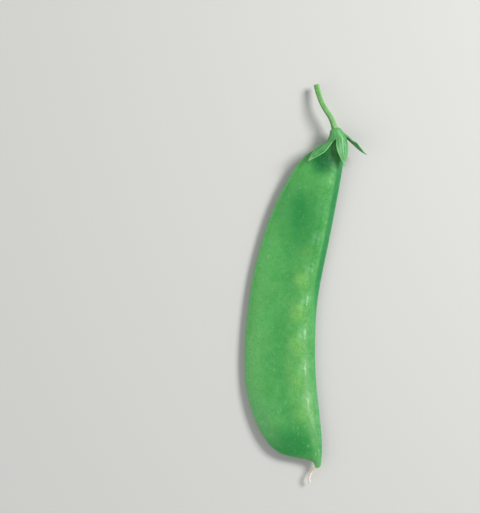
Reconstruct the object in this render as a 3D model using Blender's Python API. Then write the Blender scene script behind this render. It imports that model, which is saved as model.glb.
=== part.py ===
"""A snow pea pod as picked: the flat pod, its calyx, its cut stalk and its dried style.

Blender 4.5 script, metres, +Z up. +Y runs along the pod from its beak to its stem end,
and +X points to the edge that carries the seeds. The pod lies on its side and rests on
one flat spot under its belly. The origin is the bottom centre of the whole object.
"""

import math

import bmesh
import bpy
import numpy
from mathutils import Matrix, Vector
from mathutils.bvhtree import BVHTree

MM = 0.001

# Each rung crosses the pod from its back edge to its seed edge, beak first.
# back x, back y, seed x, seed y, half thickness of the belly there, in mm
POD_RUNGS = (
    (-0.68, 0.00, 0.30, 0.08, 0.50),
    (-1.00, 0.75, 0.84, 0.85, 0.72),
    (-1.85, 1.85, 0.96, 2.40, 0.95),
    (-4.60, 2.42, 0.94, 4.60, 1.20),
    (-8.60, 2.85, 0.78, 7.40, 1.45),
    (-12.60, 4.20, 0.35, 10.70, 1.70),
    (-16.30, 7.55, -0.25, 14.20, 1.90),
    (-19.60, 12.90, -1.05, 18.60, 2.05),
    (-22.45, 20.30, -2.10, 24.60, 2.17),
    (-23.95, 28.80, -2.95, 31.60, 2.22),
    (-24.35, 38.00, -3.48, 39.20, 2.25),
    (-24.10, 47.50, -3.62, 47.60, 2.25),
    (-23.20, 57.30, -2.90, 56.80, 2.22),
    (-21.15, 67.80, -1.62, 66.30, 2.15),
    (-18.20, 77.90, -0.45, 75.90, 2.05),
    (-14.25, 87.00, 0.55, 84.80, 1.95),
    (-10.05, 93.25, 1.15, 92.00, 1.75),
    (-5.10, 96.60, 1.15, 96.80, 1.45),
    (-3.05, 98.60, 0.35, 99.70, 1.25),
    (-3.20, 100.70, -0.70, 101.50, 1.15),
)

# Section of the pod
FULL_SECTION = 9.0 * MM         # a narrower stretch has the same section, shrunk
BACK_SHOULDER = 8.0 * MM        # from the back edge to the full thickness
SEED_SHOULDER = 6.5 * MM        # from the seed edge to the full thickness
FULLNESS = 0.62                 # 1 is a lens, less is flatter with rounder edges
SUTURE_RADIUS = 0.50 * MM       # rounded seam along the seed edge
GROOVE_DEPTH = 0.09 * MM        # furrow between that seam and the belly
GROOVE_PLACE = 1.10 * MM
GROOVE_WIDTH = 0.38 * MM
SEED_EDGE_STEPS = (0.12 * MM, 0.5 * MM, 1.1 * MM, 1.7 * MM, 2.4 * MM, 3.1 * MM, 3.9 * MM)
BACK_EDGE_STEPS = (0.12 * MM, 0.45 * MM, 1.1 * MM)
BELLY_STEPS = 8
RING_SPACING = 1.9 * MM
CUT_TOLERANCE = 1e-7            # of the flat cut underneath

# Seed bumps, which press out both faces: place along +Y and share of the full height
SEEDS = (
    (17.0 * MM, 0.65), (27.2 * MM, 0.85), (37.4 * MM, 1.00), (47.4 * MM, 1.00),
    (57.0 * MM, 0.95), (66.0 * MM, 0.80), (75.0 * MM, 0.55), (83.5 * MM, 0.40),
)
SEED_HEIGHT = 0.62 * MM
SEED_FROM_EDGE = 5.5 * MM
SEED_HALF_WIDTH = 2.9 * MM
SEED_HALF_LENGTH = 3.6 * MM

# Fold that runs along the seed bumps, on their side of the seam, and down the beak
CREST_HEIGHT = 0.30 * MM
CREST_WIDTH = 0.75 * MM
CREST_FROM_EDGE = (0.95 * MM, 3.1 * MM)     # at the beak and at the last seed bump
CREST_REACH = (6 * MM, 16 * MM)             # leaves the beak, joins the bumps
BEAK_CREST = 0.9                            # its share of the height by the beak
BEAK_CREST_START = (0, 3 * MM)
BEAK_CREST_END = (10 * MM, 20 * MM)

# How the pod lies: its middle plane stands this high over the belly's flat spot
MIDDLE_HEIGHT = 2.12 * MM
BEAK_LIFT = 0.9 * MM
BEAK_LIFT_FROM = 30 * MM
STEM_LIFT = 2.7 * MM
STEM_LIFT_FROM = 52 * MM

# Calyx: a cup round the neck and five leafy lobes on its rim
GAP = 0.3 * MM                  # between pieces that touch on the real pod
SKIN_CLEARANCE = 0.42 * MM      # of the calyx's corner points, so that its faces keep the gap
CUP_WALL = 0.65 * MM
CUP_LENGTH = 2.9 * MM
CUP_BASE_RADIUS = 1.40 * MM
CUP_NECK_RADIUS = 1.90 * MM
CUP_MOUTH_HALF_WIDTH = 3.3 * MM
CUP_MOUTH_HALF_HEIGHT = 2.05 * MM
CUP_BOWL = 0.3                  # share of the cup's length over which its floor rounds up
CUP_FLARE = 1.3                 # more is a mouth that widens later
CUP_RINGS = (0.12, 0.30, 0.65, 1.00)
LOBE_COLUMNS = 6
LOBE_ROWS = 7
LOBE_START = 0.32               # where on an arch of half a wave a lobe's outline starts
LOBE_TAPER = 0.9                # more is a slimmer lobe with a longer tip
LOBE_ROOT = 0.45                # share of a lobe over which the cup's round rim fades out
LOBE_FOLD = 0.15                # how far the margins fold towards the pod
TIP_HALF_WIDTH = 0.32 * MM
# angle round the cup from the back side over the top, heading seen from above (from the
# pod's own direction towards the back side), climb at the root and at the tip, in
# degrees, then length and half width
LOBES = (
    (42, 42, 38, -12, 9.4 * MM, 2.0 * MM),
    (114, -9, 10, -10, 8.8 * MM, 2.1 * MM),
    (186, -48, 4, 22, 8.2 * MM, 1.9 * MM),
    (258, -6, -12, -3, 7.4 * MM, 1.8 * MM),
    (330, 46, -38, 2, 7.4 * MM, 1.8 * MM),
)

# Stalk, from just behind the cup, and style: x, y, height over the resting plane and
# radius, in mm
STALK_ROOT_RADIUS = 1.0 * MM
STALK_POINTS = (
    (-3.40, 104.60, 5.00, 0.82),
    (-5.40, 107.30, 4.70, 0.75),
    (-7.20, 110.60, 3.90, 0.75),
    (-8.50, 114.40, 2.90, 0.85),
)
STYLE_POINTS = (
    (-0.86, -0.24, 2.94, 0.35),
    (-1.55, -1.25, 2.78, 0.36),
    (-2.02, -2.20, 2.52, 0.37),
    (-2.36, -3.20, 2.25, 0.39),
    (-2.10, -4.55, 2.00, 0.34),
)
STALK_SIDES = 12
STYLE_SIDES = 8
THREAD_STEPS = 4                # rings from one point to the next

# Colour, as linear red, green and blue, and roughness of each piece
POD_LOOK = ((0.122, 0.418, 0.120), 0.42)
CALYX_LOOK = ((0.066, 0.300, 0.090), 0.60)
STALK_LOOK = ((0.200, 0.440, 0.130), 0.55)
STYLE_LOOK = ((0.680, 0.560, 0.340), 0.80)


def natural_curve(points):
    """Return a function of t from 0 to the last point: a natural cubic through them."""
    values = numpy.array(points, dtype=float)
    count = len(values)
    matrix = numpy.eye(count)
    right = numpy.zeros_like(values)
    for i in range(1, count - 1):
        matrix[i, i - 1:i + 2] = 1, 4, 1
        right[i] = 6 * (values[i - 1] - 2 * values[i] + values[i + 1])
    bend = numpy.linalg.solve(matrix, right)

    def at(t):
        i = min(int(t), count - 2)
        f = t - i
        g = 1 - f
        return (values[i] * g + values[i + 1] * f
                + bend[i] * (g ** 3 - g) / 6 + bend[i + 1] * (f ** 3 - f) / 6)

    return at


pod_rung = natural_curve(numpy.array(POD_RUNGS) * MM)


def middle_height(y):
    """Height of the pod's middle plane over what it lies on."""
    beak = max(0.0, 1 - y / BEAK_LIFT_FROM)
    stem = max(0.0, (y - STEM_LIFT_FROM) / (100 * MM - STEM_LIFT_FROM))
    return MIDDLE_HEIGHT + BEAK_LIFT * beak ** 2 + STEM_LIFT * stem ** 2


def smooth_step(value, start, end):
    share = max(0.0, min(1.0, (value - start) / (end - start)))
    return share * share * (3 - 2 * share)


def seed_swelling(from_seed, y):
    """Share of a full seed bump at a place, from its distance to the seed edge."""
    across = (from_seed - SEED_FROM_EDGE) / SEED_HALF_WIDTH
    return sum(share * math.exp(-across ** 2 - ((y - place) / SEED_HALF_LENGTH) ** 2)
               for place, share in SEEDS)


def crest_rise(from_seed, y):
    """Height of the fold, which is strongest beside each seed bump."""
    near, far = CREST_FROM_EDGE
    line = near + (far - near) * smooth_step(y, *CREST_REACH)
    by_beak = smooth_step(y, *BEAK_CREST_START) * (1 - smooth_step(y, *BEAK_CREST_END))
    strength = BEAK_CREST * by_beak + seed_swelling(SEED_FROM_EDGE, y)
    return CREST_HEIGHT * strength * math.exp(-((from_seed - line) / CREST_WIDTH) ** 2)


def half_thickness(from_back, from_seed, belly, y):
    """Height of the pod's face over its middle plane, from the distances to its edges."""
    shrink = min(1.0, (from_back + from_seed) / FULL_SECTION)
    back_rise = math.sin(min(1.0, from_back / (BACK_SHOULDER * shrink)) * math.pi / 2)
    seed_rise = math.sin(min(1.0, from_seed / (SEED_SHOULDER * shrink)) * math.pi / 2)
    height = belly * (back_rise * seed_rise) ** FULLNESS
    cord = SUTURE_RADIUS * shrink
    off_cord = (from_seed - cord) / cord
    if abs(off_cord) < 1:
        height = max(height, cord * math.sqrt(1 - off_cord ** 2))
    groove = (from_seed - GROOVE_PLACE * shrink) / (GROOVE_WIDTH * shrink)
    height -= GROOVE_DEPTH * shrink * math.exp(-groove ** 2)
    height += SEED_HEIGHT * shrink * seed_swelling(from_seed, y)
    if min(from_back, from_seed) > 0:
        height += crest_rise(from_seed, y)
    return max(0.0, height)


def ring_places():
    """Places along the rungs for the pod's rings, at least two to a rung."""
    places = [0.0]
    for i in range(len(POD_RUNGS) - 1):
        travel = pod_rung(i + 1) - pod_rung(i)
        longest = max(math.hypot(*travel[0:2]), math.hypot(*travel[2:4]))
        steps = max(2, round(longest / RING_SPACING))
        places += [i + (k + 1) / steps for k in range(steps)]
    return places


def shares_across(width):
    """Shares of the way from back edge to seed edge at which a ring has its points."""
    shrink = min(1.0, width / FULL_SECTION)
    low = BACK_EDGE_STEPS[-1] * shrink
    high = width - SEED_EDGE_STEPS[-1] * shrink
    offsets = [step * shrink for step in BACK_EDGE_STEPS]
    offsets += [low + (high - low) * k / BELLY_STEPS for k in range(1, BELLY_STEPS)]
    offsets += [width - step * shrink for step in reversed(SEED_EDGE_STEPS)]
    return [0.0] + [offset / width for offset in offsets] + [1.0]


def pod_point(rung, share, side):
    """A point of the pod's skin: side is 1 on the upper face and -1 on the lower one."""
    back = Vector((rung[0], rung[1], 0.0))
    seed = Vector((rung[2], rung[3], 0.0))
    width = (seed - back).length
    place = back.lerp(seed, share)
    thick = half_thickness(share * width, (1 - share) * width, rung[4], place.y)
    place.z = middle_height(place.y) + side * thick
    return place


def new_object(name, mesh, colour, roughness):
    """Link an object with its own material; colour is linear red, green, blue."""
    material = bpy.data.materials.new(name)
    material.use_nodes = True
    shader = material.node_tree.nodes["Principled BSDF"]
    shader.inputs["Base Color"].default_value = (*colour, 1.0)
    shader.inputs["Roughness"].default_value = roughness
    shader.inputs["Metallic"].default_value = 0.0
    mesh.materials.append(material)
    obj = bpy.data.objects.new(name, mesh)
    bpy.context.collection.objects.link(obj)
    return obj


def finish_mesh(bm, name):
    """Turn the faces outwards, which the enclosed volume confirms, and make the mesh."""
    bmesh.ops.recalc_face_normals(bm, faces=bm.faces)
    if bm.calc_volume(signed=True) < 0:
        bmesh.ops.reverse_faces(bm, faces=bm.faces)
    mesh = bpy.data.meshes.new(name)
    bm.to_mesh(mesh)
    bm.free()
    mesh.shade_smooth()
    return mesh


def make_pod():
    """The pod: a capped tube whose rings take the pod's section, cut flat underneath."""
    places = ring_places()
    across = len(SEED_EDGE_STEPS) + len(BACK_EDGE_STEPS) + BELLY_STEPS
    around = 2 * across
    bm = bmesh.new()
    bmesh.ops.create_cone(
        bm, cap_ends=True, segments=around, radius1=1, radius2=1, depth=2)
    uprights = [edge for edge in bm.edges if abs(edge.verts[0].co.z - edge.verts[1].co.z) > 1]
    bmesh.ops.subdivide_edges(bm, edges=uprights, cuts=len(places) - 2, use_grid_fill=True)
    for vert in bm.verts:
        level = round((vert.co.z + 1) / 2 * (len(places) - 1))
        step = round(math.atan2(vert.co.y, vert.co.x) / math.tau * around) % around
        rung = pod_rung(places[level])
        shares = shares_across(math.dist(rung[0:2], rung[2:4]))
        if step <= across:
            vert.co = pod_point(rung, shares[step], 1)
        else:
            vert.co = pod_point(rung, shares[around - step], -1)
    cut = bmesh.ops.bisect_plane(
        bm, geom=bm.verts[:] + bm.edges[:] + bm.faces[:], dist=CUT_TOLERANCE,
        plane_co=(0, 0, 0), plane_no=(0, 0, 1), clear_inner=True)
    rim = [item for item in cut["geom_cut"] if isinstance(item, bmesh.types.BMEdge)]
    bmesh.ops.edgeloop_fill(bm, edges=rim)
    return new_object("pod", finish_mesh(bm, "pod"), *POD_LOOK)


def calyx_frame():
    """Where the calyx sits: its floor's centre, its axis to the mouth, back side and up."""
    back_x, back_y, seed_x, seed_y, _ = pod_rung(len(POD_RUNGS) - 1)
    across = Vector((back_x - seed_x, back_y - seed_y, 0.0)).normalized()
    up = Vector((0.0, 0.0, 1.0))
    axis = across.cross(up)
    if axis.y > 0:
        axis.negate()
    neck_y = (back_y + seed_y) / 2
    neck = Vector(((back_x + seed_x) / 2, neck_y, middle_height(neck_y)))
    return neck - axis * SKIN_CLEARANCE, axis, across, up


def grow(bm, row, closed=False):
    """Extrude a row of points and return the new row in the same order."""
    ends = row[1:] + row[:1] if closed else row[1:]
    edges = [bm.edges.get(pair) for pair in zip(row, ends)]
    grown = bmesh.ops.extrude_edge_only(bm, edges=edges)["geom"]
    fresh = {item for item in grown if isinstance(item, bmesh.types.BMVert)}
    return [next(e.other_vert(v) for e in v.link_edges if e.other_vert(v) in fresh)
            for v in row]


def cup_ring(along):
    """Half width and half height of the cup's inner wall, along from 0 to 1 at the mouth."""
    bowl = math.sqrt(min(1.0, along / CUP_BOWL))
    flare = max(0.0, (along - CUP_BOWL) / (1 - CUP_BOWL))
    neck = CUP_BASE_RADIUS + (CUP_NECK_RADIUS - CUP_BASE_RADIUS) * bowl
    wide = neck + (CUP_MOUTH_HALF_WIDTH - CUP_NECK_RADIUS) * flare ** CUP_FLARE
    high = neck + (CUP_MOUTH_HALF_HEIGHT - CUP_NECK_RADIUS) * flare
    return wide, high


def lay_clear(bm, pod):
    """Push the points of a sheet out to a set clearance from the pod's skin."""
    skin = BVHTree.FromObject(pod, bpy.context.evaluated_depsgraph_get())
    for vert in bm.verts:
        place, normal, _, _ = skin.find_nearest(vert.co)
        away = vert.co - place
        if away.dot(normal) < 0 or away.length < SKIN_CLEARANCE:
            vert.co = place + normal * SKIN_CLEARANCE


def make_calyx(pod):
    """The calyx: a cup extruded ring by ring, then five lobes extruded from its rim."""
    floor, axis, across, up = calyx_frame()
    segments = LOBE_COLUMNS * len(LOBES)
    first_angle = math.radians(LOBES[0][0]) - math.pi / len(LOBES)

    def on_cup(step, along):
        angle = first_angle + math.tau * step / segments
        wide, high = cup_ring(along)
        return (floor + axis * (CUP_LENGTH * along)
                + across * (wide * math.cos(angle)) + up * (high * math.sin(angle)))

    bm = bmesh.new()
    bmesh.ops.create_circle(bm, cap_ends=True, segments=segments, radius=1)
    ring = sorted(bm.verts, key=lambda v: math.atan2(v.co.y, v.co.x) % math.tau)
    for step, vert in enumerate(ring):
        vert.co = on_cup(step, 0)
    for along in CUP_RINGS:
        ring = grow(bm, ring, closed=True)
        for step, vert in enumerate(ring):
            vert.co = on_cup(step, along)

    for number, (angle, heading, root_climb, tip_climb, length, half_width) in enumerate(LOBES):
        row = [ring[(number * LOBE_COLUMNS + k) % segments] for k in range(LOBE_COLUMNS + 1)]
        turn = math.radians(angle)
        heading = math.radians(heading)
        radial = across * math.cos(turn) + up * math.sin(turn)
        centre = row[LOBE_COLUMNS // 2].co.copy()
        root = [vert.co - centre for vert in row]
        for level in range(1, LOBE_ROWS + 1):
            q = level / LOBE_ROWS
            climb = math.radians(root_climb + (tip_climb - root_climb) * q)
            forward = Vector((-math.sin(heading) * math.cos(climb),
                              -math.cos(heading) * math.cos(climb), math.sin(climb)))
            outward = (radial - forward * radial.dot(forward)).normalized()
            sideways = forward.cross(outward)
            if sideways.dot(root[-1] - root[0]) < 0:
                sideways.negate()
            centre += forward * (length / LOBE_ROWS)
            arch = math.sin(math.pi * (LOBE_START + (1 - LOBE_START) * q))
            half = max(TIP_HALF_WIDTH, half_width * arch ** LOBE_TAPER)
            root_share = max(0.0, 1 - q / LOBE_ROOT)
            row = grow(bm, row)
            for k, vert in enumerate(row):
                f = 2 * k / LOBE_COLUMNS - 1
                leaf = sideways * (f * half) - outward * (LOBE_FOLD * half * f * f)
                vert.co = centre + leaf.lerp(root[k], root_share)

    lay_clear(bm, pod)
    calyx = new_object("calyx", finish_mesh(bm, "calyx"), *CALYX_LOOK)
    wall = calyx.modifiers.new("wall", "SOLIDIFY")
    wall.thickness = CUP_WALL
    wall.offset = 1.0
    return calyx


def stalk_points():
    """The stalk's points, with the first one square behind the cup's outer floor."""
    floor, axis, _, _ = calyx_frame()
    root = floor - axis * (CUP_WALL + GAP)
    rest = numpy.array(STALK_POINTS) * MM
    return [(*root, STALK_ROOT_RADIUS), *rest]


def make_thread(name, points, sides, colour, roughness):
    """A bent round stem with closed ends, on a smooth curve through x, y, z and radius."""
    curve = bpy.data.curves.new(name, "CURVE")
    curve.dimensions = "3D"
    curve.bevel_depth = MM      # the radii of its points then count in mm
    curve.bevel_resolution = sides // 2 - 2     # half the sides, beyond the four it has at 0
    curve.use_fill_caps = True
    spline = curve.splines.new("POLY")
    at = natural_curve(points)
    spline.points.add(THREAD_STEPS * (len(points) - 1))
    for k, point in enumerate(spline.points):
        x, y, z, radius = at(k / THREAD_STEPS)
        point.co = (x, y, z, 1.0)
        point.radius = radius / MM
    return new_object(name, curve, colour, roughness)


def stand_on_origin(objects):
    """Move the objects together so that the origin is the bottom centre of them all."""
    bpy.context.view_layer.update()
    depsgraph = bpy.context.evaluated_depsgraph_get()
    corners = []
    for obj in objects:
        mesh = obj.evaluated_get(depsgraph).to_mesh()
        corners += [vert.co.copy() for vert in mesh.vertices]
    low = Vector([min(c[i] for c in corners) for i in range(3)])
    high = Vector([max(c[i] for c in corners) for i in range(3)])
    foot = Vector(((low.x + high.x) / 2, (low.y + high.y) / 2, low.z))
    for obj in objects:
        obj.matrix_world = Matrix.Translation(-foot)


for old in list(bpy.data.objects):
    bpy.data.objects.remove(old)

whole_pod = make_pod()
stand_on_origin([
    whole_pod,
    make_calyx(whole_pod),
    make_thread("stalk", stalk_points(), STALK_SIDES, *STALK_LOOK),
    make_thread("dried_style", numpy.array(STYLE_POINTS) * MM, STYLE_SIDES, *STYLE_LOOK),
])
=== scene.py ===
"""A snow pea pod laid on a pale table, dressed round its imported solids.

The pod's own axes are those of the frame: +Y from the beak to the stem end, +X towards
the edge that carries the seeds, +Z up. Outlines count from the tip of the beak.
"""

import math

import bmesh
import bpy
import numpy
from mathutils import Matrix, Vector, noise
from mathutils.bvhtree import BVHTree


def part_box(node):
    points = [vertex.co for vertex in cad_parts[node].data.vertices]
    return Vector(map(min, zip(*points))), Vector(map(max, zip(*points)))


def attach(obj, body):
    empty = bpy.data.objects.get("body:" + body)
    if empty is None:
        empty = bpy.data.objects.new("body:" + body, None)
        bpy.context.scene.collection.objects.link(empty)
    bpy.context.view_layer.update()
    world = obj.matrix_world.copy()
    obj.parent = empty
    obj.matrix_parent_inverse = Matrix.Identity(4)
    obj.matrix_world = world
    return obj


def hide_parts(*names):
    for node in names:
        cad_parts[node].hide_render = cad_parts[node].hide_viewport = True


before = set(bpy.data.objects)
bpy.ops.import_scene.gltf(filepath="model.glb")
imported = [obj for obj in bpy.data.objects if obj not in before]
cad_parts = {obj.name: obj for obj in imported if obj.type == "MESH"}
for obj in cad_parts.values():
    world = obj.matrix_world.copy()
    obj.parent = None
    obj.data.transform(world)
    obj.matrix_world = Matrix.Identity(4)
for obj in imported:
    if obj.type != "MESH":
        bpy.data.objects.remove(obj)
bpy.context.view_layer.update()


# The pod: two flat green valves, grown together along the thin back edge and the rounded
# seed edge, drawn out to a beak at the tip and to a short neck at the stem. The young
# seeds show as soft bumps near the seed edge, on both faces. It is one grown piece.
MM = 0.001

# Each rung crosses the pod from its back edge to its seed edge, beak first.
# back x, back y, seed x, seed y, half thickness of the belly there, in mm
POD_RUNGS = (
    (-0.68, 0.00, 0.30, 0.08, 0.50),
    (-1.00, 0.75, 0.84, 0.85, 0.72),
    (-1.85, 1.85, 0.96, 2.40, 0.95),
    (-4.60, 2.42, 0.94, 4.60, 1.20),
    (-8.60, 2.85, 0.78, 7.40, 1.45),
    (-12.60, 4.20, 0.35, 10.70, 1.70),
    (-16.30, 7.55, -0.25, 14.20, 1.90),
    (-19.60, 12.90, -1.05, 18.60, 2.05),
    (-22.45, 20.30, -2.10, 24.60, 2.17),
    (-23.95, 28.80, -2.95, 31.60, 2.22),
    (-24.35, 38.00, -3.48, 39.20, 2.25),
    (-24.10, 47.50, -3.62, 47.60, 2.25),
    (-23.20, 57.30, -2.90, 56.80, 2.22),
    (-21.15, 67.80, -1.62, 66.30, 2.15),
    (-18.20, 77.90, -0.45, 75.90, 2.05),
    (-14.25, 87.00, 0.55, 84.80, 1.95),
    (-10.05, 93.25, 1.15, 92.00, 1.75),
    (-5.10, 96.60, 1.15, 96.80, 1.45),
    (-3.05, 98.60, 0.35, 99.70, 1.25),
    (-3.20, 100.70, -0.70, 101.50, 1.15),
)
FULL_SECTION = 9.0 * MM         # a narrower stretch has the same section, shrunk
BACK_SHOULDER = 8.0 * MM        # from the back edge to the full thickness
SEED_SHOULDER = 6.5 * MM        # from the seed edge to the full thickness
FULLNESS = 0.62                 # 1 is a lens, less is flatter with rounder edges
SUTURE_RADIUS = 0.50 * MM       # rounded seam along the seed edge
GROOVE_DEPTH = 0.09 * MM        # furrow between that seam and the belly
GROOVE_PLACE = 1.10 * MM
GROOVE_WIDTH = 0.38 * MM
# Seed bumps: place along +Y and share of the full height
SEEDS = (
    (17.0 * MM, 0.65), (27.2 * MM, 0.85), (37.4 * MM, 1.00), (47.4 * MM, 1.00),
    (57.0 * MM, 0.95), (66.0 * MM, 0.80), (75.0 * MM, 0.55), (83.5 * MM, 0.40),
)
SEED_HEIGHT = 0.62 * MM
SEED_FROM_EDGE = 5.5 * MM
SEED_HALF_WIDTH = 2.9 * MM
SEED_HALF_LENGTH = 3.6 * MM
# How the pod lies: its middle plane stands this high, and its two ends rise
MIDDLE_HEIGHT = 2.12 * MM
BEAK_LIFT = 0.9 * MM
BEAK_LIFT_FROM = 30 * MM
STEM_LIFT = 2.7 * MM
STEM_LIFT_FROM = 52 * MM
STEM_LIFT_TO = 100 * MM
# Deep green patches: centre from the tip of the beak, half size, in mm, and depth
PATCHES = (
    ((-11.0, 76.7, 0.0), (3.6, 9.0), 0.70),
    ((-12.5, 75.0, 0.0), (9.0, 18.0), 0.55),
    ((-6.2, 70.5, 0.0), (7.0, 16.5), 0.55),
    # next to the calyx: partly deep green skin, partly painted shadow of the calyx
    ((-5.5, 91.8, 0.0), (5.8, 6.6), 0.95),
    ((-7.8, 6.4, 0.0), (13.0, 9.0), 0.90),
)
UNDER_CALYX = ((-4.4, 92.0, 0.0), (5.0, 5.4))   # the darkest, in the calyx's shade
SEED_TINT_SHIFT = 1.3 * MM      # of the yellow over each seed, towards the beak: painted light on the side of each bump that the key light leaves in shade
POD_COLUMNS = 76                # from edge to edge on one face
EDGE_CROWDING = 0.7             # more brings the columns closer at the edges
POD_RING_SPACING = 0.34 * MM
LEAST_RINGS = 6                 # from one rung to the next
OUTLINE_STEPS = 2000
CREST_HEIGHT = 0.30 * MM        # fold that runs along the seed bumps and down the beak
CREST_WIDTH = 0.75 * MM
CREST_FROM_EDGE = (0.95 * MM, 3.1 * MM)     # at the beak and at the last seed bump
CREST_REACH = (6 * MM, 16 * MM)             # leaves the beak, joins the bumps
BEAK_CREST = 0.9                            # its share of the height by the beak
BEAK_CREST_START = (0, 3 * MM)
BEAK_CREST_END = (10 * MM, 20 * MM)
SWELL = 0.12 * MM               # slow unevenness of the valves, and its length
SWELL_LENGTH = 13 * MM
DIMPLE = 0.035 * MM             # small shallow dents
DIMPLE_LENGTH = 2.6 * MM
RIPPLE = 0.010 * MM             # shallow slanting veins under the skin
RIPPLE_SPACING = 2.1 * MM
RIPPLE_SLANT = 0.55
RIPPLE_WANDER = 1.2 * MM
RELIEF_FADE = 3 * MM            # over which swellings, dents and veins die at the edges
SWELL_LAYER = 9 * MM            # how far apart the two faces draw their unevenness
DIMPLE_LAYER = 7 * MM


def natural_curve(points):
    """Return a function of t from 0 to the last point: a natural cubic through them."""
    values = numpy.array(points, dtype=float)
    count = len(values)
    matrix = numpy.eye(count)
    right = numpy.zeros_like(values)
    for i in range(1, count - 1):
        matrix[i, i - 1:i + 2] = 1, 4, 1
        right[i] = 6 * (values[i - 1] - 2 * values[i] + values[i + 1])
    bend = numpy.linalg.solve(matrix, right)

    def at(t):
        i = min(int(t), count - 2)
        f = t - i
        g = 1 - f
        return (values[i] * g + values[i + 1] * f
                + bend[i] * (g ** 3 - g) / 6 + bend[i + 1] * (f ** 3 - f) / 6)

    return at


pod_rung = natural_curve(numpy.array(POD_RUNGS) * MM)

# The solids stand with their whole box centred on the origin, so the tip of the beak is
# found from the lowest corner of the pod's own box.
outline = numpy.array([pod_rung(k * (len(POD_RUNGS) - 1) / OUTLINE_STEPS)
                       for k in range(OUTLINE_STEPS + 1)])
pod_low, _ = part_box("pod")
tip_place = Vector((pod_low.x - outline[:, [0, 2]].min(),
                    pod_low.y - outline[:, [1, 3]].min(), 0.0))


def middle_height(y):
    """Height of the pod's middle plane over what it lies on."""
    beak = max(0.0, 1 - y / BEAK_LIFT_FROM)
    stem = max(0.0, (y - STEM_LIFT_FROM) / (STEM_LIFT_TO - STEM_LIFT_FROM))
    return MIDDLE_HEIGHT + BEAK_LIFT * beak ** 2 + STEM_LIFT * stem ** 2


def seed_swelling(from_seed, y):
    """Share of a full seed bump at a place, from its distance to the seed edge."""
    across = (from_seed - SEED_FROM_EDGE) / SEED_HALF_WIDTH
    return sum(share * math.exp(-across ** 2 - ((y - place) / SEED_HALF_LENGTH) ** 2)
               for place, share in SEEDS)


def half_thickness(from_back, from_seed, belly, y):
    """Height of the pod's face over its middle plane, from the distances to its edges."""
    shrink = min(1.0, (from_back + from_seed) / FULL_SECTION)
    back_rise = math.sin(min(1.0, from_back / (BACK_SHOULDER * shrink)) * math.pi / 2)
    seed_rise = math.sin(min(1.0, from_seed / (SEED_SHOULDER * shrink)) * math.pi / 2)
    height = belly * max(0.0, back_rise * seed_rise) ** FULLNESS
    cord = SUTURE_RADIUS * shrink
    off_cord = (from_seed - cord) / cord
    if abs(off_cord) < 1:
        height = max(height, cord * math.sqrt(1 - off_cord ** 2))
    groove = (from_seed - GROOVE_PLACE * shrink) / (GROOVE_WIDTH * shrink)
    height -= GROOVE_DEPTH * shrink * math.exp(-groove ** 2)
    height += SEED_HEIGHT * shrink * seed_swelling(from_seed, y)
    return max(0.0, height)


def smooth_step(value, start, end):
    share = max(0.0, min(1.0, (value - start) / (end - start)))
    return share * share * (3 - 2 * share)


def skin_relief(place, from_back, from_seed, side):
    """The fold by the beak, and slow swellings, dents and veins that fade at the edges."""
    near, far = CREST_FROM_EDGE
    crest_line = near + (far - near) * smooth_step(place.y, *CREST_REACH)
    crest = math.exp(-((from_seed - crest_line) / CREST_WIDTH) ** 2)
    by_beak = (BEAK_CREST * smooth_step(place.y, *BEAK_CREST_START)
               * (1 - smooth_step(place.y, *BEAK_CREST_END)))
    crest *= by_beak + seed_swelling(SEED_FROM_EDGE, place.y)
    inside = min(1.0, from_back / RELIEF_FADE) * min(1.0, from_seed / RELIEF_FADE)
    slow = noise.noise(Vector((place.x, place.y, SWELL_LAYER * side)) / SWELL_LENGTH)
    dent = noise.noise(Vector((place.x, place.y, DIMPLE_LAYER * side)) / DIMPLE_LENGTH)
    slant = place.y + RIPPLE_SLANT * place.x + RIPPLE_WANDER * slow
    vein = math.sin(slant / RIPPLE_SPACING * math.tau)
    return CREST_HEIGHT * crest + inside * (SWELL * slow + DIMPLE * dent + RIPPLE * vein)


def make_pod():
    """The pod's skin: a capped tube of fine rings, flat where it meets the table."""
    places = [0.0]
    for i in range(len(POD_RUNGS) - 1):
        travel = pod_rung(i + 1) - pod_rung(i)
        longest = max(math.hypot(*travel[0:2]), math.hypot(*travel[2:4]))
        steps = max(LEAST_RINGS, round(longest / POD_RING_SPACING))
        places += [i + (k + 1) / steps for k in range(steps)]
    around = 2 * POD_COLUMNS
    bm = bmesh.new()
    bmesh.ops.create_cone(bm, cap_ends=True, segments=around, radius1=1, radius2=1, depth=2)
    uprights = [e for e in bm.edges if abs(e.verts[0].co.z - e.verts[1].co.z) > 1]
    bmesh.ops.subdivide_edges(bm, edges=uprights, cuts=len(places) - 2, use_grid_fill=True)
    layers = {name: bm.verts.layers.float.new(name)
              for name in ("from_seed", "from_back", "along", "seed")}
    rungs = [pod_rung(t) for t in places]
    for vert in bm.verts:
        level = round((vert.co.z + 1) / 2 * (len(places) - 1))
        step = round(math.atan2(vert.co.y, vert.co.x) / math.tau * around) % around
        side = 1 if step <= POD_COLUMNS else -1
        column = step if side == 1 else around - step
        eased = (1 - math.cos(math.pi * column / POD_COLUMNS)) / 2
        share = column / POD_COLUMNS
        share += EDGE_CROWDING * (eased - share)
        rung = rungs[level]
        back = Vector((rung[0], rung[1], 0.0))
        seed = Vector((rung[2], rung[3], 0.0))
        width = (seed - back).length
        from_back = share * width
        from_seed = width - from_back
        place = back.lerp(seed, share)
        thick = half_thickness(from_back, from_seed, rung[4], place.y)
        if 0 < column < POD_COLUMNS:
            thick += skin_relief(place, from_back, from_seed, side)
        vert[layers["from_seed"]] = from_seed / MM
        vert[layers["from_back"]] = from_back / MM
        vert[layers["along"]] = place.y / MM
        vert[layers["seed"]] = seed_swelling(from_seed, place.y + SEED_TINT_SHIFT)
        place.z = max(0.0, middle_height(place.y) + side * thick)
        vert.co = place + tip_place
    face_outwards(bm)
    return bm


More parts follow.
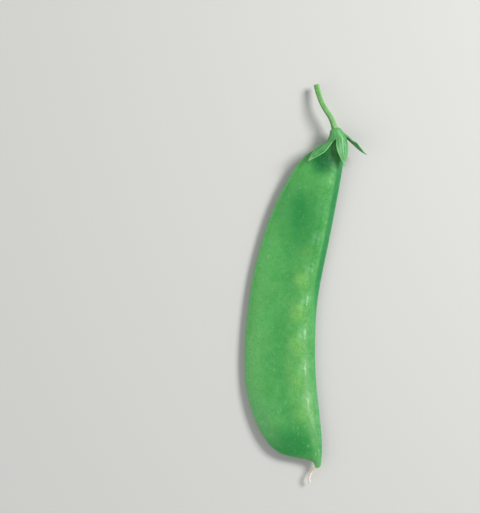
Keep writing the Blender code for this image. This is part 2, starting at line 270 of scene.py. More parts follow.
def face_outwards(bm):
    """Turn the faces of a closed mesh outwards, which its volume then confirms."""
    bmesh.ops.recalc_face_normals(bm, faces=bm.faces)
    if bm.calc_volume(signed=True) < 0:
        bmesh.ops.reverse_faces(bm, faces=bm.faces)


def show(name, bm, material, solid):
    """Make a piece from a mesh, let it replace its solid and ride on the one body."""
    mesh = bpy.data.meshes.new(name)
    bm.to_mesh(mesh)
    bm.free()
    mesh.shade_smooth()
    mesh.materials.append(material)
    piece = bpy.data.objects.new(name, mesh)
    bpy.context.collection.objects.link(piece)
    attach(piece, "root")
    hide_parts(solid)
    return piece


def paint(red, green, blue):
    """Linear colour of a shade named by its everyday 0 to 255 values."""
    return (*[((c / 255 + 0.055) / 1.055) ** 2.4 for c in (red, green, blue)], 1.0)


def node(tree, kind, inputs=(), **settings):
    """Add a shader node; inputs are (socket, value or other node's socket) pairs."""
    made = tree.nodes.new("ShaderNode" + kind)
    for name, value in settings.items():
        setattr(made, name, value)
    for socket, value in inputs:
        if isinstance(value, bpy.types.NodeSocket):
            tree.links.new(value, made.inputs[socket])
        else:
            made.inputs[socket].default_value = value
    return made


def mixed(tree, share, low, high):
    """Colour from low to high by a share from 0 to 1."""
    made = node(tree, "Mix", [(0, share), (6, low), (7, high)], data_type="RGBA")
    return made.outputs[2]


def ramp(tree, value, start, end, low=0.0, high=1.0):
    """A smooth step of a value: low before start, high after end."""
    made = node(tree, "MapRange", [(0, value), (1, start), (2, end), (3, low), (4, high)],
                interpolation_type="SMOOTHSTEP")
    return made.outputs[0]


def times(tree, one, other):
    return node(tree, "Math", [(0, one), (1, other)], operation="MULTIPLY").outputs[0]


def tinted(tree, under, where, strength, shade):
    """Lay a shade over a colour where a mask says, to a strength from 0 to 1."""
    return mixed(tree, times(tree, where, strength), under, paint(*shade))


def cloud(tree, place, scale, detail=3.0, distortion=0.0):
    """Soft random blotches around 0.5; scale counts them in a metre."""
    made = node(tree, "TexNoise", [("Vector", place), ("Scale", scale), ("Detail", detail),
                                   ("Distortion", distortion)])
    return made.outputs[0]


def dots(tree, place, scale, radius, chosen):
    """Small round spots in a chosen share of the cells: 1 at their middles, 0 between."""
    cells = node(tree, "TexVoronoi", [("Vector", place), ("Scale", scale)])
    spot = ramp(tree, cells.outputs["Distance"], radius * 0.4, radius, 1.0, 0.0)
    lot = node(tree, "SeparateColor", [("Color", cells.outputs["Color"])]).outputs[0]
    return times(tree, spot, ramp(tree, lot, chosen, chosen - 0.02))


def stretched(tree, place, turn, sizes):
    """Coordinates turned about the pod's height and stretched, for scratches and fibres."""
    made = node(tree, "Mapping", [("Vector", place), ("Rotation", (0.0, 0.0, turn)),
                                  ("Scale", sizes)])
    return made.outputs[0]


def patch(tree, place, centre, half_size):
    """A soft round patch on both faces: 1 at its centre and 0 at its rim."""
    across = node(tree, "VectorMath", [(0, place), (1, tip_place + Vector(centre) * MM)],
                  operation="SUBTRACT").outputs[0]
    sizes = (1 / (half_size[0] * MM), 1 / (half_size[1] * MM), 0.0)
    scaled = node(tree, "VectorMath", [(0, across), (1, sizes)], operation="MULTIPLY")
    away = node(tree, "VectorMath", [(0, scaled.outputs[0])], operation="LENGTH")
    return ramp(tree, away.outputs["Value"], 0.15, 1.0, 1.0, 0.0)


def kept(tree, name):
    """A value that the mesh keeps at each of its points."""
    return node(tree, "Attribute", attribute_name=name).outputs["Fac"]


def bumpy(tree, height, strength, depth, *under):
    """Normal of a surface that is fine relief, on top of another one if that is given."""
    inputs = [("Strength", strength), ("Distance", depth), ("Height", height)]
    return node(tree, "Bump", inputs + [("Normal", normal) for normal in under]).outputs[0]


def let_light_in(shader, weight, reach, depth):
    """Light that enters living green tissue comes out again nearby, most of it green."""
    shader.inputs["Subsurface Weight"].default_value = weight
    shader.inputs["Subsurface Radius"].default_value = reach
    shader.inputs["Subsurface Scale"].default_value = depth


def skin_shader(name):
    """A new material, its tree and its Principled shader."""
    material = bpy.data.materials.new(name)
    material.use_nodes = True
    tree = material.node_tree
    return material, tree, tree.nodes["Principled BSDF"]


def pod_skin():
    """Waxy pea green, yellower over the seeds, bluish at the seed edge, pale at the rims, with
    painted light and highlights on rims, seam and fold.
    """
    material, tree, shader = skin_shader("pod skin")
    place = node(tree, "TexCoord").outputs["Object"]
    from_seed = kept(tree, "from_seed")
    from_back = kept(tree, "from_back")
    along = kept(tree, "along")
    slow = cloud(tree, place, 75.0, 2.0)
    blotch = cloud(tree, place, 230.0, 3.0, 0.4)
    mottle = cloud(tree, place, 900.0, 4.0, 0.6)

    # broad bands, from the greyish back side over the deep middle to the yellow seed side; the
    # back side's paleness is partly painted light on the half that turns away from the key
    # light
    green = mixed(tree, ramp(tree, slow, 0.35, 0.65), paint(70, 157, 76), paint(82, 168, 84))
    back_side = times(tree, ramp(tree, from_back, 9.0, 3.0), ramp(tree, along, 10, 26))
    green = tinted(tree, green, back_side, 0.5, (91, 185, 84))
    middle = times(tree, ramp(tree, from_back, 6.0, 9.5), ramp(tree, from_seed, 6.5, 9.5))
    green = tinted(tree, green, middle, 0.60, (60, 151, 70))
    seed_side = times(tree, ramp(tree, from_seed, 10.5, 6.5), ramp(tree, from_seed, 2.0, 3.6))
    green = tinted(tree, green, seed_side, 0.6, (82, 164, 78))
    yellower = times(tree, ramp(tree, along, 42, 30), ramp(tree, along, 12, 20, 0.0, 0.35))
    green = mixed(tree, times(tree, seed_side, yellower), green, paint(116, 184, 98))
    # the seeds' yellow, shifted towards the beak: painted light on the bumps' shaded sides
    bump = times(tree, ramp(tree, kept(tree, "seed"), 0.25, 0.90), ramp(tree, along, 92, 60))
    green = tinted(tree, green, bump, 0.90, (120, 186, 91))
    # the pale fold along the seed bumps: partly paler skin where the seeds press, partly
    # painted highlight
    crest_band = times(tree, ramp(tree, from_seed, 5.0, 3.4), ramp(tree, from_seed, 1.6, 2.8))
    crest = times(tree, ramp(tree, along, 66, 30), ramp(tree, along, 8, 16))
    crest = times(tree, crest_band, crest)
    green = tinted(tree, green, crest, 0.42, (138, 190, 118))
    edge_side = times(tree, ramp(tree, from_seed, 3.8, 1.6), ramp(tree, along, 60, 42))
    green = tinted(tree, green, edge_side, 0.45, (66, 148, 72))

    # blotches and mottling, then the deep patches: upper middle, by the calyx and the beak; by
    # the calyx they are partly painted shadow of the calyx
    green = tinted(tree, green, ramp(tree, blotch, 0.45, 0.7), 0.34, (98, 176, 98))
    green = tinted(tree, green, ramp(tree, blotch, 0.5, 0.3), 0.22, (58, 146, 66))
    green = tinted(tree, green, ramp(tree, mottle, 0.5, 0.72), 0.22, (108, 184, 106))
    green = tinted(tree, green, ramp(tree, mottle, 0.5, 0.3), 0.22, (46, 132, 58))
    marble = cloud(tree, stretched(tree, place, 0.6, (320.0, 170.0, 320.0)), 1.0, 2.0, 0.5)
    green = tinted(tree, green, ramp(tree, marble, 0.50, 0.68), 0.16, (116, 180, 88))
    green = tinted(tree, green, ramp(tree, marble, 0.50, 0.32), 0.16, (54, 154, 80))
    off_edge = ramp(tree, from_seed, 1.0, 3.6)
    for centre, half_size, depth in PATCHES:
        dark = times(tree, patch(tree, place, centre, half_size), depth)
        green = mixed(tree, times(tree, dark, off_edge), green, paint(6, 129, 52))
    # painted shadow of the calyx, the darkest, over the deep green skin below it
    green = tinted(tree, green, patch(tree, place, *UNDER_CALYX), 0.85, (0, 92, 42))
    # a pale band beside the seam on the lower half towards the beak: partly the skin's pale
    # band, partly painted highlight
    pale_band_and_highlight = times(tree, ramp(tree, from_seed, 4.4, 2.4), ramp(tree, from_seed, 1.0, 2.2))
    pale_band_and_highlight = times(tree, pale_band_and_highlight, ramp(tree, blotch, 0.35, 0.6, 0.25, 1.0))
    pale_band_and_highlight = times(tree, pale_band_and_highlight, times(tree, ramp(tree, along, 26, 14, 0.3, 1.0),
                                                 ramp(tree, along, 5, 9, 0.0, 0.36)))
    pale_band_and_highlight = times(tree, pale_band_and_highlight, ramp(tree, along, 42, 30))
    green = mixed(tree, pale_band_and_highlight, green, paint(156, 204, 146))

    # the seed edge: a bluish stripe, strong on the upper half, and the pale line of the seam,
    # which is partly painted highlight on its rounded cord
    upper = ramp(tree, along, 40, 57)
    thin_line = times(tree, ramp(tree, from_seed, 0.75, 0.35), 0.45)
    green = mixed(tree, thin_line, green, paint(66, 168, 104))
    stripe_width = ramp(tree, along, 40, 60, 0.6, 1.8)
    stripe = node(tree, "Math", [(0, from_seed), (1, stripe_width)], operation="DIVIDE")
    stripe = times(tree, ramp(tree, stripe.outputs[0], 1.2, 0.6), upper)
    green = tinted(tree, green, stripe, 0.85, (18, 122, 62))
    seam = times(tree, ramp(tree, from_seed, 0.40, 0.15), upper)
    green = tinted(tree, green, seam, 0.22, (112, 194, 146))
    # the pale back rim: partly the thin edge's paler tissue, partly painted light where the rim
    # slopes away from the key light
    rim = times(tree, ramp(tree, from_back, 0.95, 0.10), ramp(tree, along, 6, 18, 0.25, 0.60))
    green = mixed(tree, rim, green, paint(112, 206, 122))
    beak = ramp(tree, along, 4.5, 1.0)
    green = tinted(tree, green, beak, 0.6, (112, 174, 106))

    # wax specks, scratches and dark points
    pale = dots(tree, place, 640.0, 0.14, 0.30)
    green = tinted(tree, green, pale, 0.26, (176, 218, 166))
    fine = dots(tree, place, 1700.0, 0.22, 0.30)
    green = tinted(tree, green, fine, 0.38, (160, 210, 150))
    grit = cloud(tree, place, 3600.0, 1.0)
    green = tinted(tree, green, ramp(tree, grit, 0.50, 0.30), 0.55, (46, 136, 62))
    low_end = ramp(tree, along, 26, 8)
    for turn, start in ((0.9, 0.64), (-0.5, 0.67)):
        scratch = cloud(tree, stretched(tree, place, turn, (3000.0, 420.0, 420.0)), 1.0, 2.0)
        scratch = times(tree, ramp(tree, scratch, start, start + 0.1),
                        ramp(tree, blotch, 0.42, 0.55))
        shine = node(tree, "Math", [(0, low_end), (1, 0.25), (2, 0.25)],
                     operation="MULTIPLY_ADD").outputs[0]
        green = mixed(tree, times(tree, scratch, shine), green, paint(178, 220, 168))
    dark = dots(tree, place, 330.0, 0.075, 0.30)
    green = tinted(tree, green, dark, 0.55, (40, 104, 52))
    fleck = dots(tree, stretched(tree, place, 0.5, (1.0, 0.28, 1.0)), 1150.0, 0.22, 0.22)
    green = tinted(tree, green, fleck, 0.5, (44, 124, 58))
    smudge = dots(tree, stretched(tree, place, -0.7, (1.0, 0.45, 1.0)), 260.0, 0.12, 0.16)
    smudge = times(tree, smudge, ramp(tree, mottle, 0.58, 0.42))
    green = tinted(tree, green, smudge, 0.5, (56, 120, 52))
    tree.links.new(green, shader.inputs["Base Color"])

    waxy = times(tree, crest_band, ramp(tree, kept(tree, "seed"), 0.0, 0.5, 0.0, 0.14))
    waxy = times(tree, waxy, ramp(tree, along, 18, 34, -1.0, 1.0))
    matt = ramp(tree, mottle, 0.3, 0.75, 0.30, 0.44)
    matt = node(tree, "Math", [(0, matt), (1, waxy)], operation="SUBTRACT").outputs[0]
    tree.links.new(matt, shader.inputs["Roughness"])
    net = node(tree, "TexVoronoi", [("Vector", stretched(tree, place, -0.5, (1.0, 1.8, 1.0))),
                                    ("Scale", 1100.0)], feature="DISTANCE_TO_EDGE")
    cells = bumpy(tree, ramp(tree, net.outputs[0], 0.0, 0.15), 0.2, 0.02 * MM)
    tree.links.new(bumpy(tree, mottle, 0.25, 0.06 * MM, cells), shader.inputs["Normal"])
    let_light_in(shader, 0.15, (0.5, 1.0, 0.3), 0.8 * MM)
    shader.inputs["Coat Weight"].default_value = 0.12
    shader.inputs["Coat Roughness"].default_value = 0.3
    return material


pod_piece = show("pod_skin", make_pod(), pod_skin(), "pod")


# The calyx: the green cup of the flower, still tight round the pod's neck, with five
# pointed leafy lobes on its rim. It is one thin leaf, thinnest at its margins and tips.
NECK_CLEARANCE = 0.42 * MM      # from the pod's stem end to the cup's floor
CUP_LENGTH = 2.9 * MM
CUP_BASE_RADIUS = 1.40 * MM
CUP_NECK_RADIUS = 1.90 * MM
CUP_MOUTH_HALF_WIDTH = 3.3 * MM
CUP_MOUTH_HALF_HEIGHT = 2.05 * MM
CUP_BOWL = 0.3                  # share of the cup's length over which its floor rounds up
CUP_FLARE = 1.3                 # more is a mouth that widens later
CUP_RIB = 0.03                  # of its radius, one rib to a lobe
CUP_RINGS = 12
CUP_CROWDING = 1.4              # more brings the rings closer near the floor
CUP_COUNT = 0.3                 # the kept value to_tip runs from -0.3 at the floor to 0
FLOOR_RINGS = 5
FLOOR_REACH = 0.8               # of the floor's radius that they cover
FLOOR_DOME = 0.42 * MM
# angle round the cup from the back side over the top, heading seen from above (from the
# pod's own direction towards the back side), climb at the root and at the tip, in
# degrees, then length and half width
LOBES = (
    (42, 42, 38, -12, 9.4 * MM, 2.0 * MM),
    (114, -9, 10, -10, 8.8 * MM, 2.1 * MM),
    (186, -48, 4, 22, 8.2 * MM, 1.9 * MM),
    (258, -6, -12, -3, 7.4 * MM, 1.8 * MM),
    (330, 46, -38, 2, 7.4 * MM, 1.8 * MM),
)
LOBE_COLUMNS = 18
LOBE_ROWS = 34
LOBE_START = 0.32               # where on an arch of half a wave a lobe's outline starts
LOBE_TAPER = 1.15               # more is a slimmer lobe with a longer tip
LOBE_ROOT_FADE = 2.2            # the cup's round rim is lost over 1 / 2.2 of a lobe
LOBE_FOLD = 0.15                # how far the margins fold towards the pod
TIP_HALF_WIDTH = 0.10 * MM
LEAF_CLEARANCE = 0.16 * MM      # between the leaf and the pod's skin
LEAF_WALL = 0.46 * MM
MARGIN_WALL = 0.45              # share of the wall that is left at the margins
MIDRIB = 0.10 * MM
MIDRIB_WIDTH = 0.24 * MM
SIDE_VEIN = 0.028 * MM
VEIN_WAVES = 4.5                # half waves of veins on each side of the midrib
MARGIN_ROLL = 0.30 * MM
MARGIN_WAVE = 0.4               # share of the roll that comes and goes along the margin
MARGIN_WAVE_TURNS = (9.0, 2.1, 1.3)     # from root to tip, from lobe to lobe, across


def neck_frame():
    """Where the cup sits: its floor's centre, its axis to the mouth, back side and up."""
    back_x, back_y, seed_x, seed_y, _ = pod_rung(len(POD_RUNGS) - 1)
    across = Vector((back_x - seed_x, back_y - seed_y, 0.0)).normalized()
    up = Vector((0.0, 0.0, 1.0))
    axis = across.cross(up)
    if axis.y > 0:
        axis.negate()
    neck_y = (back_y + seed_y) / 2
    neck = Vector(((back_x + seed_x) / 2, neck_y, middle_height(neck_y)))
    return neck + tip_place - axis * NECK_CLEARANCE, axis, across, up


def grow(bm, row, closed=False):
    """Extrude a row of points and return the new row in the same order."""
    ends = row[1:] + row[:1] if closed else row[1:]
    edges = [bm.edges.get(pair) for pair in zip(row, ends)]
    grown = bmesh.ops.extrude_edge_only(bm, edges=edges)["geom"]
    fresh = {item for item in grown if isinstance(item, bmesh.types.BMVert)}
    return [next(e.other_vert(v) for e in v.link_edges if e.other_vert(v) in fresh)
            for v in row]


def put_in_order(bm):
    """Sort edges and faces by their points: extruding leaves them in another order each run."""
    bm.verts.index_update()
    count = len(bm.verts)

    def mark(item):
        numbers = [vert.index for vert in item.verts]
        return min(numbers) * count + max(numbers)

    bm.edges.sort(key=mark)
    bm.faces.sort(key=mark)


def make_calyx():
    """A cup extruded ring by ring, then five lobes extruded from its rim, clear of the pod."""
    floor, axis, across, up = neck_frame()
    segments = LOBE_COLUMNS * len(LOBES)
    first_angle = math.radians(LOBES[0][0]) - math.pi / len(LOBES)
    bm = bmesh.new()
    middle_line = bm.verts.layers.float.new("off_midrib")
    length_line = bm.verts.layers.float.new("to_tip")
    weights = bm.verts.layers.deform.verify()

    def on_cup(step, along):
        angle = first_angle + math.tau * step / segments
        bowl = math.sqrt(min(1.0, along / CUP_BOWL))
        flare = max(0.0, (along - CUP_BOWL) / (1 - CUP_BOWL))
        neck = CUP_BASE_RADIUS + (CUP_NECK_RADIUS - CUP_BASE_RADIUS) * bowl
        wide = neck + (CUP_MOUTH_HALF_WIDTH - CUP_NECK_RADIUS) * flare ** CUP_FLARE
        high = neck + (CUP_MOUTH_HALF_HEIGHT - CUP_NECK_RADIUS) * flare
        rib = 1 + CUP_RIB * math.cos(len(LOBES) * (angle - math.radians(LOBES[0][0])))
        return (floor + axis * (CUP_LENGTH * along)
                + (across * (wide * math.cos(angle)) + up * (high * math.sin(angle))) * rib)

    bmesh.ops.create_circle(bm, cap_ends=True, segments=segments, radius=1)
    ring = sorted(bm.verts, key=lambda v: math.atan2(v.co.y, v.co.x) % math.tau)
    cup_floor = bm.faces[:]
    for level in range(CUP_RINGS + 1):
        if level:
            ring = grow(bm, ring, closed=True)
        along = (level / CUP_RINGS) ** CUP_CROWDING
        for step, vert in enumerate(ring):
            vert.co = on_cup(step, along)
            vert[middle_line] = 2 * (step % LOBE_COLUMNS) / LOBE_COLUMNS - 1
            vert[length_line] = CUP_COUNT * (along - 1)
            vert[weights][0] = 1.0

    for step in range(FLOOR_RINGS):
        bmesh.ops.inset_region(bm, faces=cup_floor,
                               thickness=FLOOR_REACH * CUP_BASE_RADIUS / FLOOR_RINGS)
        rise = FLOOR_DOME * math.sin((step + 1) / FLOOR_RINGS * math.pi / 2)
        for vert in cup_floor[0].verts:
            vert.co -= axis * (rise + (vert.co - floor).dot(axis))
            vert[weights][0] = 1.0
            vert[length_line] = -CUP_COUNT

    up_leaf, by_lobe, by_side = MARGIN_WAVE_TURNS
    for number, (angle, heading, root_climb, tip_climb, length, half_width) in enumerate(LOBES):
        first = number * LOBE_COLUMNS
        row = [ring[(first + k) % segments] for k in range(LOBE_COLUMNS + 1)]
        turn = math.radians(angle)
        heading = math.radians(heading)
        radial = across * math.cos(turn) + up * math.sin(turn)
        centre = row[LOBE_COLUMNS // 2].co.copy()
        root = [vert.co - centre for vert in row]
        for level in range(1, LOBE_ROWS + 1):
            q = level / LOBE_ROWS
            climb = math.radians(root_climb + (tip_climb - root_climb) * q)
            forward = Vector((-math.sin(heading) * math.cos(climb),
                              -math.cos(heading) * math.cos(climb), math.sin(climb)))
            outward = (radial - forward * radial.dot(forward)).normalized()
            sideways = forward.cross(outward)
            if sideways.dot(root[-1] - root[0]) < 0:
                sideways.negate()
            centre += forward * (length / LOBE_ROWS)
            arch = math.sin(math.pi * (LOBE_START + (1 - LOBE_START) * q))
            half = max(TIP_HALF_WIDTH, half_width * arch ** LOBE_TAPER)
            root_share = max(0.0, 1 - q * LOBE_ROOT_FADE)
            row = grow(bm, row)
            for k, vert in enumerate(row):
                f = 2 * k / LOBE_COLUMNS - 1
                wave = math.sin(up_leaf * q + by_lobe * number + (by_side if f > 0 else 0.0))
                roll = 1 - MARGIN_WAVE + MARGIN_WAVE * wave
                lift = (MIDRIB * math.exp(-(f * half / MIDRIB_WIDTH) ** 2) * (1 - q)
                        + SIDE_VEIN * math.cos(f * VEIN_WAVES * math.pi)
                        + MARGIN_ROLL * abs(f) ** 4 * math.sin(math.pi * q) * roll
                        - LOBE_FOLD * half * f * f)
                leaf = sideways * (f * half) + outward * lift
                vert.co = centre + leaf.lerp(root[k], root_share)
                vert[middle_line] = f
                vert[length_line] = q
                thin = max(abs(f) ** 3, q ** 3)
                vert[weights][0] = 1 - thin

    skin = BVHTree.FromObject(pod_piece, bpy.context.evaluated_depsgraph_get())
    for vert in bm.verts:
        if (vert.co - floor).dot(axis) > CUP_BOWL * CUP_LENGTH:
            place, normal, _, _ = skin.find_nearest(vert.co)
            away = vert.co - place
            if away.dot(normal) < 0 or away.length < LEAF_CLEARANCE:
                vert.co = place + normal * LEAF_CLEARANCE
    bmesh.ops.recalc_face_normals(bm, faces=bm.faces)
    if cup_floor[0].normal.dot(axis) > 0:
        bmesh.ops.reverse_faces(bm, faces=bm.faces)
    put_in_order(bm)
    return bm


def calyx_leaf():
    """Matt leaf green, veined lengthwise, paler at the cup's base, margins and tips."""
    material, tree, shader = skin_shader("calyx leaf")
    place = node(tree, "TexCoord").outputs["Object"]
    off_midrib = kept(tree, "off_midrib")
    to_tip = kept(tree, "to_tip")
    off_middle = node(tree, "Math", [(0, off_midrib)], operation="ABSOLUTE").outputs[0]
    blotch = cloud(tree, place, 420.0, 3.0, 0.5)
    mottle = cloud(tree, place, 2400.0, 3.0)
    green = mixed(tree, ramp(tree, blotch, 0.35, 0.65), paint(54, 138, 66), paint(76, 156, 84))
    green = tinted(tree, green, ramp(tree, mottle, 0.52, 0.7), 0.4, (118, 186, 118))
    veins = times(tree, off_midrib, VEIN_WAVES * math.pi)
    veins = node(tree, "Math", [(0, veins)], operation="COSINE").outputs[0]
    green = tinted(tree, green, ramp(tree, veins, 0.6, 1.0), 0.38, (136, 196, 128))
    midrib = times(tree, ramp(tree, off_middle, 0.14, 0.03), ramp(tree, to_tip, 1.0, 0.5))
    green = tinted(tree, green, midrib, 0.55, (128, 190, 122))
    margin = times(tree, ramp(tree, off_middle, 0.84, 1.0), ramp(tree, to_tip, 0.05, 0.3))
    green = tinted(tree, green, margin, 0.7, (160, 208, 148))
    green = tinted(tree, green, ramp(tree, to_tip, 0.72, 1.0), 0.8, (164, 208, 158))
    green = tinted(tree, green, ramp(tree, to_tip, 0.0, -0.3), 0.45, (104, 172, 96))
    tree.links.new(green, shader.inputs["Base Color"])
    tree.links.new(ramp(tree, mottle, 0.3, 0.7, 0.42, 0.60), shader.inputs["Roughness"])
    tree.links.new(bumpy(tree, mottle, 0.35, 0.05 * MM), shader.inputs["Normal"])
    let_light_in(shader, 0.12, (0.4, 1.0, 0.3), 0.4 * MM)
    return material


calyx_piece = show("calyx_leaf", make_calyx(), calyx_leaf(), "calyx")
calyx_piece.vertex_groups.new(name="wall")
wall = calyx_piece.modifiers.new("wall", "SOLIDIFY")
wall.thickness = LEAF_WALL
wall.offset = 1.0
wall.vertex_group = "wall"
wall.thickness_vertex_group = MARGIN_WALL
smooth = calyx_piece.modifiers.new("smooth", "SUBSURF")
smooth.levels = 1
smooth.render_levels = 1


# The stalk: the short green flower stalk on which the pod hung. It swells a little into
# the calyx, has shallow ribs and ends in the flat cut where it was snipped.
STALK_ROOT_DEPTH = 0.15 * MM    # into the cup's wall
STALK_ROOT_RADIUS = 1.0 * MM
# x, y from the tip of the beak, height and radius, in mm
STALK_POINTS = (
    (-3.40, 104.60, 5.00, 0.82),
    (-5.40, 107.30, 4.70, 0.75),
    (-7.20, 110.60, 3.90, 0.75),
    (-8.50, 114.40, 2.90, 0.85),
)
STALK_SIDES = 40
STALK_RINGS = 150
STALK_RIBS = 5
STALK_RIB_DEPTH = 0.05          # of the radius
STALK_TWIST = 1.5               # of the ribs from root to cut, in radians
STALK_LUMP = 0.05               # of the radius
STALK_LUMPS = 7
TANGENT_STEP = 0.01             # of a stem's length
# Rings on the cut: share of the last ring's radius, and height over it
CUT_RINGS = ((0.94, 0.0), (0.85, -0.03 * MM), (0.65, -0.04 * MM), (0.77, 0.04 * MM))


def rod(curve, last, rings, sides, relief):
    """A bent round stem on a curve of x, y, height and radius, with closed ends."""
    bm = bmesh.new()
    bmesh.ops.create_cone(bm, cap_ends=True, segments=sides, radius1=1, radius2=1, depth=2)
    uprights = [e for e in bm.edges if abs(e.verts[0].co.z - e.verts[1].co.z) > 1]
    bmesh.ops.subdivide_edges(bm, edges=uprights, cuts=rings - 2, use_grid_fill=True)
    along_line = bm.verts.layers.float.new("to_end")
    around_line = bm.verts.layers.float.new("around")
    for vert in bm.verts:
        share = (vert.co.z + 1) / 2
        turn = math.atan2(vert.co.y, vert.co.x)
        x, y, z, radius = curve(share * last)
        ahead = (curve(min(1.0, share + TANGENT_STEP) * last)
                 - curve(max(0.0, share - TANGENT_STEP) * last))
        facing = Vector(ahead[:3]).to_track_quat("Z", "Y")
        rim = Vector((math.cos(turn), math.sin(turn), 0.0))
        vert.co = Vector((x, y, z)) + facing @ rim * (radius * relief(turn, share))
        vert[along_line] = share
        vert[around_line] = turn / math.tau
    face_outwards(bm)
    return bm


def step_in(bm, face, share, height):
    """Inset an end face: its rim becomes a flat share of the old one, at a height over it."""
    centre = face.calc_center_median()
    facing = face.normal.copy()
    bmesh.ops.inset_region(bm, faces=[face], thickness=0)
    for vert in face.verts:
        spoke = vert.co - centre
        spoke -= facing * spoke.dot(facing)
        vert.co = centre + spoke * share + facing * height


def stalk_relief(turn, share):
    """Shallow ribs, a slow twist and a little unevenness."""
    rib = STALK_RIB_DEPTH * math.cos(STALK_RIBS * turn + STALK_TWIST * share)
    lump = noise.noise(Vector((math.cos(turn), math.sin(turn), STALK_LUMPS * share)))
    return 1 + rib + STALK_LUMP * lump


def make_stalk():
    """A ribbed stem from inside the cup's wall, with rings on its flat cut."""
    floor, axis, _, _ = neck_frame()
    root = floor - axis * STALK_ROOT_DEPTH
    points = [(*root, STALK_ROOT_RADIUS)]
    for x, y, z, radius in STALK_POINTS:
        points.append((*(Vector((x, y, z)) * MM + tip_place), radius * MM))
    bm = rod(natural_curve(points), len(points) - 1, STALK_RINGS, STALK_SIDES, stalk_relief)
    cut_line = bm.verts.layers.float.new("cut")
    cut = max(bm.faces, key=lambda face: (len(face.verts), face.calc_center_median().y))
    for step, (share, height) in enumerate(CUT_RINGS):
        step_in(bm, cut, share, height)
        for vert in cut.verts:
            vert[cut_line] = (step + 1) / len(CUT_RINGS)
    return bm


def ridges(tree, count, twist):
    """1 on the ridges of a stem and -1 between them, from the values its mesh keeps."""
    turns = times(tree, kept(tree, "around"), count * math.tau)
    lean = node(tree, "Math", [(0, kept(tree, "to_end")), (1, twist), (2, turns)],
                operation="MULTIPLY_ADD").outputs[0]
    return node(tree, "Math", [(0, lean)], operation="COSINE").outputs[0]


def stalk_skin():
    """Pale yellow-green, striped lengthwise along its ribs, with a paler cut."""
    material, tree, shader = skin_shader("stalk skin")
    place = node(tree, "TexCoord").outputs["Object"]
    mottle = cloud(tree, place, 1500.0, 3.0)
    ribs = ridges(tree, STALK_RIBS, STALK_TWIST)
    green = mixed(tree, ramp(tree, mottle, 0.3, 0.7), paint(88, 156, 76), paint(112, 176, 94))
    green = tinted(tree, green, ramp(tree, ribs, 0.2, 1.0), 0.5, (150, 198, 122))
    green = tinted(tree, green, ramp(tree, ribs, -0.2, -1.0), 0.35, (70, 142, 68))
    green = tinted(tree, green, ramp(tree, kept(tree, "to_end"), 0.12, 0.0), 0.5,
                   (84, 156, 80))
    cut = kept(tree, "cut")
    green = mixed(tree, ramp(tree, cut, 0.1, 0.4), green, paint(170, 196, 128))
    bundles = times(tree, ramp(tree, cut, 0.4, 0.55), ramp(tree, cut, 0.9, 0.7))
    bundles = times(tree, bundles, ramp(tree, ribs, 0.1, 0.8))
    green = tinted(tree, green, bundles, 0.6, (104, 148, 74))
    green = tinted(tree, green, ramp(tree, cut, 0.75, 1.0), 0.8, (206, 214, 172))
    tree.links.new(green, shader.inputs["Base Color"])
    tree.links.new(ramp(tree, mottle, 0.3, 0.7, 0.40, 0.58), shader.inputs["Roughness"])
    tree.links.new(bumpy(tree, mottle, 0.3, 0.05 * MM), shader.inputs["Normal"])
    let_light_in(shader, 0.10, (0.5, 1.0, 0.3), 0.4 * MM)
    return material


show("stalk_skin", make_stalk(), stalk_skin(), "stalk")


# The dried style: the last of the flower, a withered cream thread that still hangs on the
# beak. It is dry plant fibre, wrinkled lengthwise and a little twisted.
# x, y from the tip of the beak, height and radius, in mm
STYLE_POINTS = (
    (-0.58, 0.50, 3.02, 0.26),
    (-1.12, -0.55, 2.92, 0.30),
    (-1.62, -1.35, 2.78, 0.33),
    (-2.10, -2.30, 2.52, 0.37),
    (-2.36, -3.35, 2.25, 0.38),
    (-2.00, -4.66, 2.00, 0.36),
)
STYLE_SIDES = 36
STYLE_RINGS = 130
STYLE_FLATTENING = 0.16         # of the radius, and its turn from root to end in radians
STYLE_TWIST = 5
# wrinkles: how many round the style, turn from root to end in radians, share of the radius
WRINKLES = ((5, 9, 0.07), (9, -14, 0.04))
STYLE_LUMP = 0.16               # of the radius
STYLE_LUMPS = 12
THINNING = 0.2                  # at the very end
THINNING_REACH = (0.94, 1.0)
FRAY = 0.10 * MM                # length of the torn teeth at its end
FRAY_REACH = (0.90, 1.0)
# teeth: how many round the rim, share of their length, shift in radians
TEETH = ((3, 1.0, 1.0), (7, 0.6, 0.0))
# Rings inside the torn end, as on the stalk's cut
TORN_RINGS = ((0.6, -0.06 * MM), (0.5, -0.03 * MM))
END_STEP = 0.1                  # of a span of the curve, for its direction at the end


def style_relief(turn, share):
    """Lengthwise wrinkles, a flattened twisting section and a thin end."""
    flat = STYLE_FLATTENING * math.cos(2 * turn + STYLE_TWIST * share)
    wrinkle = sum(depth * math.cos(count * turn + twist * share)
                  for count, twist, depth in WRINKLES)
    lump = noise.noise(Vector((2 * math.cos(turn), 2 * math.sin(turn), STYLE_LUMPS * share)))
    thin = 1 - THINNING * smooth_step(share, *THINNING_REACH)
    return (1 + flat + wrinkle + STYLE_LUMP * lump) * thin


def make_style():
    """A wrinkled thread whose end is torn into uneven teeth."""
    points = []
    for x, y, z, radius in STYLE_POINTS:
        points.append((*(Vector((x, y, z)) * MM + tip_place), radius * MM))
    curve = natural_curve(points)
    last = len(points) - 1
    bm = rod(curve, last, STYLE_RINGS, STYLE_SIDES, style_relief)
    ahead = Vector((curve(last) - curve(last - END_STEP))[:3]).normalized()
    share, turn = (bm.verts.layers.float[name] for name in ("to_end", "around"))
    for vert in bm.verts:
        tooth = sum(length * math.cos(count * math.tau * vert[turn] + shift)
                    for count, length, shift in TEETH)
        vert.co += ahead * (FRAY * tooth * smooth_step(vert[share], *FRAY_REACH))
    torn = min(bm.faces, key=lambda face: (-len(face.verts), face.calc_center_median().y))
    for inward, height in TORN_RINGS:
        step_in(bm, torn, inward, height)
    return bm


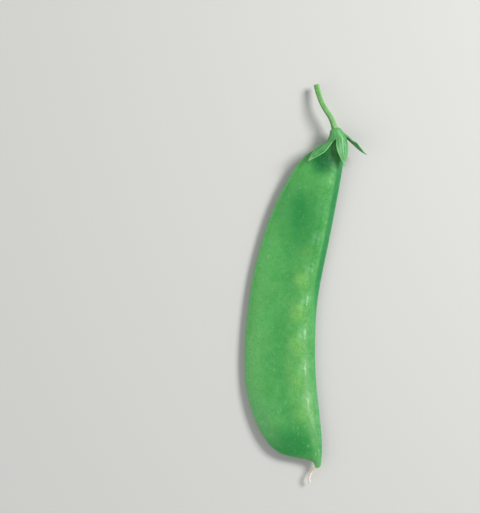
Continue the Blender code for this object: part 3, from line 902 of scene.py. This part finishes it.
def dry_thread():
    """Nearly white and dry, tanned in streaks and over its first third."""
    material, tree, shader = skin_shader("dry thread")
    place = node(tree, "TexCoord").outputs["Object"]
    mottle = cloud(tree, place, 1900.0, 4.0, 0.8)
    count, twist, _ = WRINKLES[0]
    streaks = ridges(tree, count, twist)
    cream = mixed(tree, ramp(tree, mottle, 0.35, 0.65), paint(234, 223, 192),
                  paint(255, 250, 236))
    cream = tinted(tree, cream, ramp(tree, streaks, -0.3, -1.0), 0.4, (176, 146, 98))
    cream = tinted(tree, cream, ramp(tree, kept(tree, "to_end"), 0.48, 0.26), 0.55,
                   (186, 156, 104))
    cream = tinted(tree, cream, ramp(tree, kept(tree, "to_end"), 0.12, 0.0), 0.5,
                   (168, 180, 110))
    tree.links.new(cream, shader.inputs["Base Color"])
    shader.inputs["Roughness"].default_value = 0.72
    tree.links.new(bumpy(tree, mottle, 0.6, 0.06 * MM), shader.inputs["Normal"])
    return material


show("dry_thread", make_style(), dry_thread(), "dried_style")


# The camera looks straight down on the pod, as the photograph does: its frame is 153.9 mm
# high at the pod and turned so that the pod leans a little to the right.
FRAME_HEIGHT = 153.9 * MM
FRAME_CENTRE = Vector((-27.7 * MM, 61.55 * MM, 0.0))    # from the tip of the beak
FRAME_TURN = math.radians(4.06)
CAMERA_HEIGHT = 0.62            # over the table, in metres
SENSOR = 36.0                   # its longer side, in millimetres like the lens

camera = bpy.data.objects.new("camera", bpy.data.cameras.new("camera"))
bpy.context.collection.objects.link(camera)
camera.data.sensor_width = SENSOR
camera.data.lens = SENSOR * (CAMERA_HEIGHT - MIDDLE_HEIGHT) / FRAME_HEIGHT
camera.location = tip_place + FRAME_CENTRE + Vector((0.0, 0.0, CAMERA_HEIGHT))
camera.rotation_euler = (0.0, 0.0, FRAME_TURN)
bpy.context.scene.camera = camera


# The table: a plain, pale, matt board that the pod lies on, wide enough to fill the view
# from every side. It is not part of the pod.
TABLE_SIZE = 2.0

board_sheet = bmesh.new()
bmesh.ops.create_grid(board_sheet, x_segments=1, y_segments=1, size=TABLE_SIZE)
board_mesh = bpy.data.meshes.new("table")
board_sheet.to_mesh(board_mesh)
board_sheet.free()
board_paint, _, board_shader = skin_shader("table")
board_shader.inputs["Base Color"].default_value = paint(205, 204, 200)
board_shader.inputs["Roughness"].default_value = 0.9
board_mesh.materials.append(board_paint)
board = bpy.data.objects.new("table", board_mesh)
bpy.context.collection.objects.link(board)


# The light: a soft square panel from the upper right, a broad weak one opposite it, and
# a pale room. The first makes the bright flecks beside the seeds.
def panel(name, place, size, power):
    """A square soft light of so many watts that faces the middle of the pod."""
    lamp = bpy.data.objects.new(name, bpy.data.lights.new(name, "AREA"))
    bpy.context.collection.objects.link(lamp)
    lamp.data.shape = "SQUARE"
    lamp.data.size = size
    lamp.data.energy = power
    lamp.location = place
    lamp.rotation_euler = (-Vector(place)).to_track_quat("-Z", "Y").to_euler()


panel("key light", (0.425, 0.265, 0.46), 0.22, 4.4)
panel("fill light", (-0.50, -0.25, 0.60), 0.70, 1.5)
room = bpy.data.worlds.new("room")
room.use_nodes = True
room.node_tree.nodes["Background"].inputs["Color"].default_value = (0.95, 0.97, 1.0, 1.0)
room.node_tree.nodes["Background"].inputs["Strength"].default_value = 0.40
bpy.context.scene.world = room
bpy.context.scene.view_settings.view_transform = "Standard"
